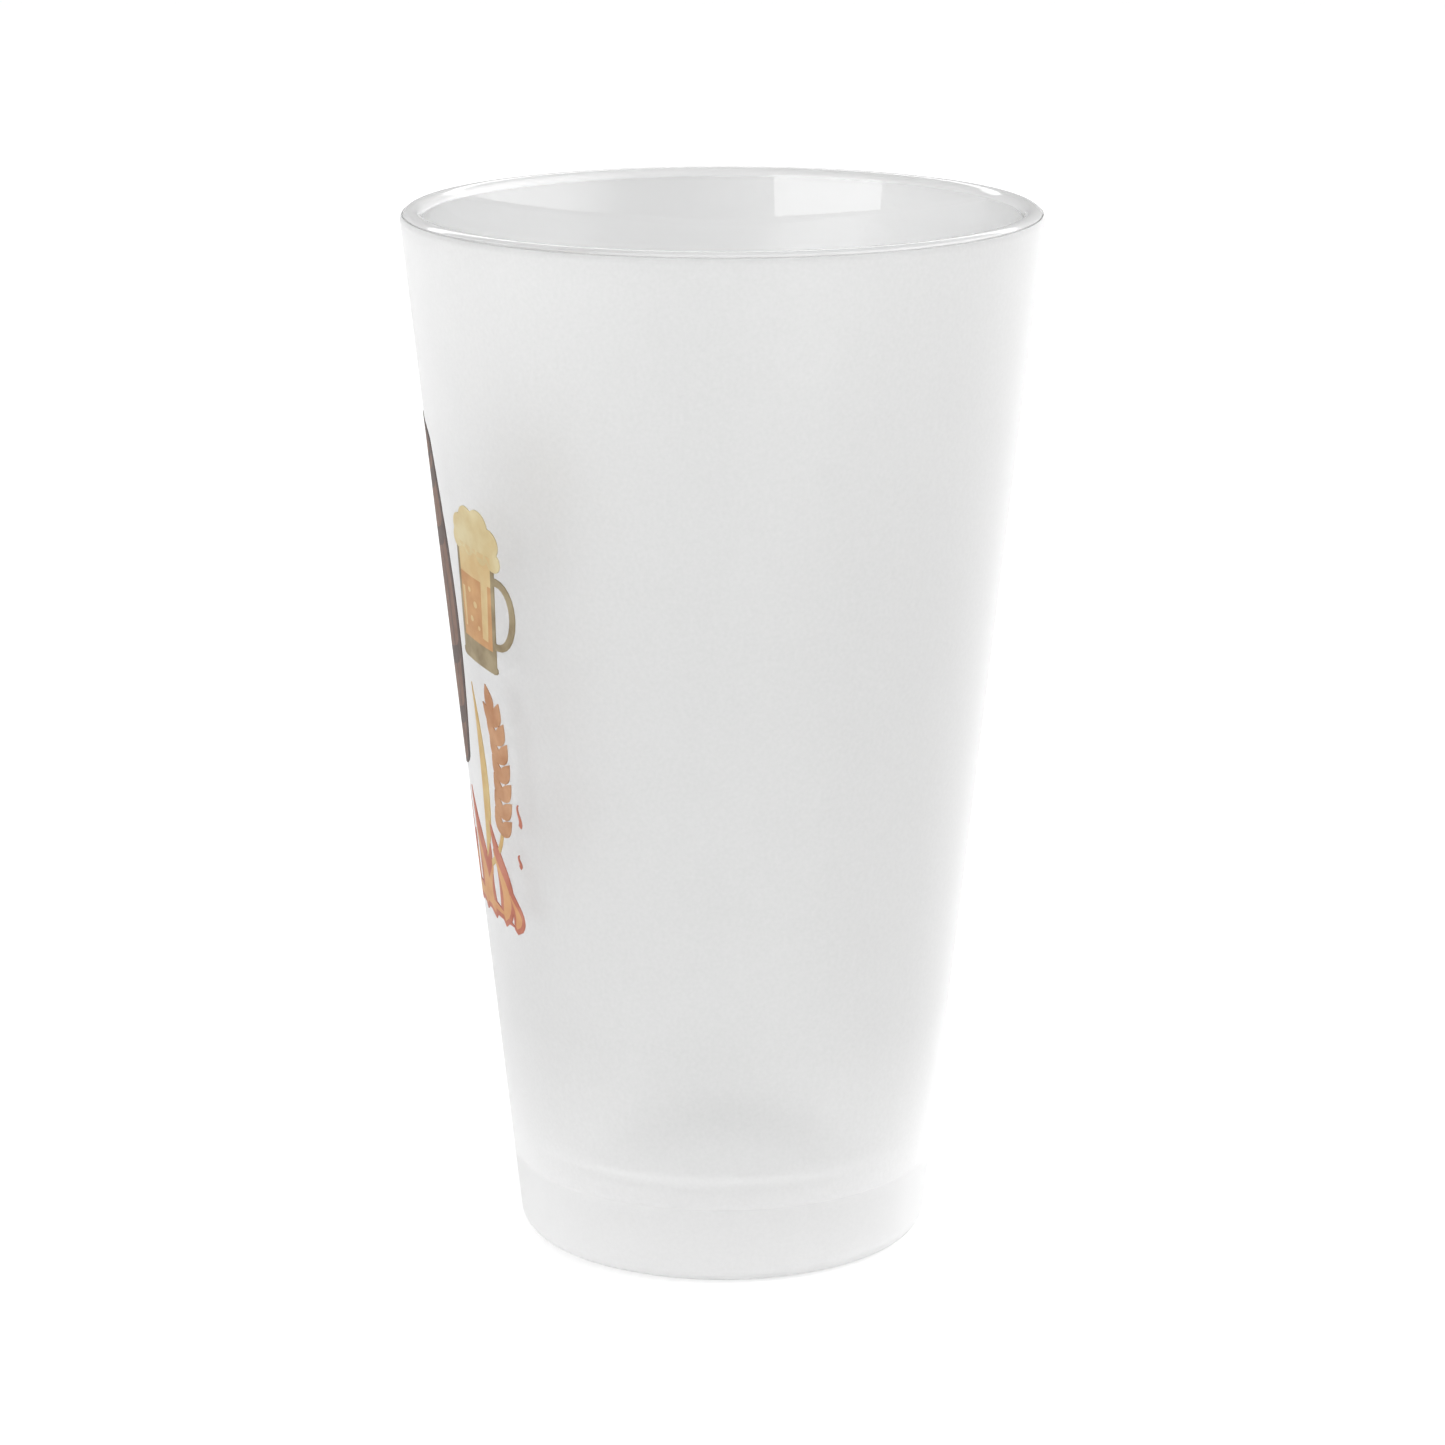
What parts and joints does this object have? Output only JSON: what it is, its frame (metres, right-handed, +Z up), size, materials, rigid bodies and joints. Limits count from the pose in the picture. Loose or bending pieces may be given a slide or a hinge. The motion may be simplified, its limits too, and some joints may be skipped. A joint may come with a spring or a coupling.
{
  "type": "pint glass",
  "caption": "Tapered frosted pint glass with a thick clear base, a rounded clear lip and a printed tavern emblem on one side.",
  "frame": {"origin": "centre of the plane that the foot stands on", "axes": "+Z up through the mouth, the printed emblem faces -X"},
  "size_m": [0.0898, 0.0898, 0.149],
  "materials": {
    "clear_glass": "clear, fire-polished lip and cavity",
    "frosted_coat": "fine frosted satin",
    "dark_brown_ink": "satin printed film",
    "wood_brown_ink": "satin printed film",
    "olive_ink": "satin printed film",
    "amber_ink": "satin printed film",
    "yellow_ink": "satin printed film",
    "cream_ink": "satin printed film",
    "orange_brown_ink": "satin printed film",
    "gold_ink": "satin printed film",
    "red_ink": "satin printed film",
    "orange_ink": "satin printed film"
  },
  "bodies": {
    "root": {"glass_body": "clear_glass", "frost_coat": "frosted_coat", "barrel_outline_ink": "dark_brown_ink", "barrel_wood_ink": "wood_brown_ink", "mug_line_ink": "olive_ink", "mug_beer_ink": "amber_ink", "mug_highlight_ink": "yellow_ink", "mug_foam_ink": "cream_ink", "barley_grain_ink": "orange_brown_ink", "barley_leaf_ink": "gold_ink", "flame_edge_ink": "red_ink", "flame_core_ink": "orange_ink"}
  },
  "joints": []
}
